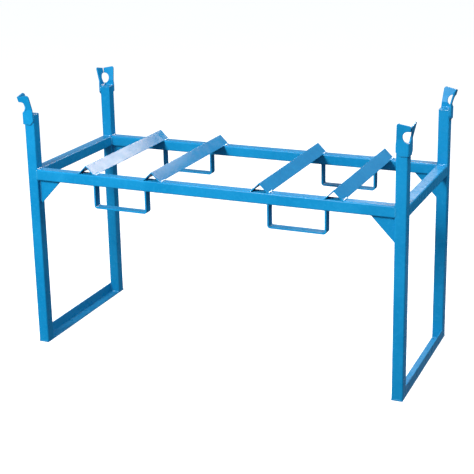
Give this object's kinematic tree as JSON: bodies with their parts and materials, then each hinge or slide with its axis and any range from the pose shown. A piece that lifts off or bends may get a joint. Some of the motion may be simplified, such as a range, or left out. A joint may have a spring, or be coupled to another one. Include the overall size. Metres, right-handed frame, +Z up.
{
  "type": "tyre storage rack",
  "caption": "Stackable steel tyre rack: square tube frame, inverted-V cradles across the rails, fork loops underneath and flared stacking guides with crane eyes.",
  "frame": {"origin": "on the ground, under the middle of the rack", "axes": "+X along the rack's length to the right, +Y to the rear, +Z up"},
  "size_m": [1.827, 0.787, 1.1959],
  "materials": {
    "blue_paint": "semi-gloss"
  },
  "bodies": {
    "root": {"base_angle_left": "blue_paint", "base_angle_right": "blue_paint", "cradle_angle_1": "blue_paint", "cradle_angle_2": "blue_paint", "cradle_angle_3": "blue_paint", "cradle_angle_4": "blue_paint", "end_rail_left": "blue_paint", "end_rail_right": "blue_paint", "fork_loop_front_left": "blue_paint", "fork_loop_front_right": "blue_paint", "fork_loop_rear_left": "blue_paint", "fork_loop_rear_right": "blue_paint", "gusset_front_left": "blue_paint", "gusset_front_right": "blue_paint", "gusset_rear_left": "blue_paint", "gusset_rear_right": "blue_paint", "long_rail_front": "blue_paint", "long_rail_rear": "blue_paint", "post_cap_front_left": "blue_paint", "post_cap_front_right": "blue_paint", "post_cap_rear_left": "blue_paint", "post_cap_rear_right": "blue_paint", "post_front_left": "blue_paint", "post_front_right": "blue_paint", "post_rear_left": "blue_paint", "post_rear_right": "blue_paint", "stacking_guide_front_left": "blue_paint", "stacking_guide_front_right": "blue_paint", "stacking_guide_rear_left": "blue_paint", "stacking_guide_rear_right": "blue_paint"}
  },
  "joints": []
}
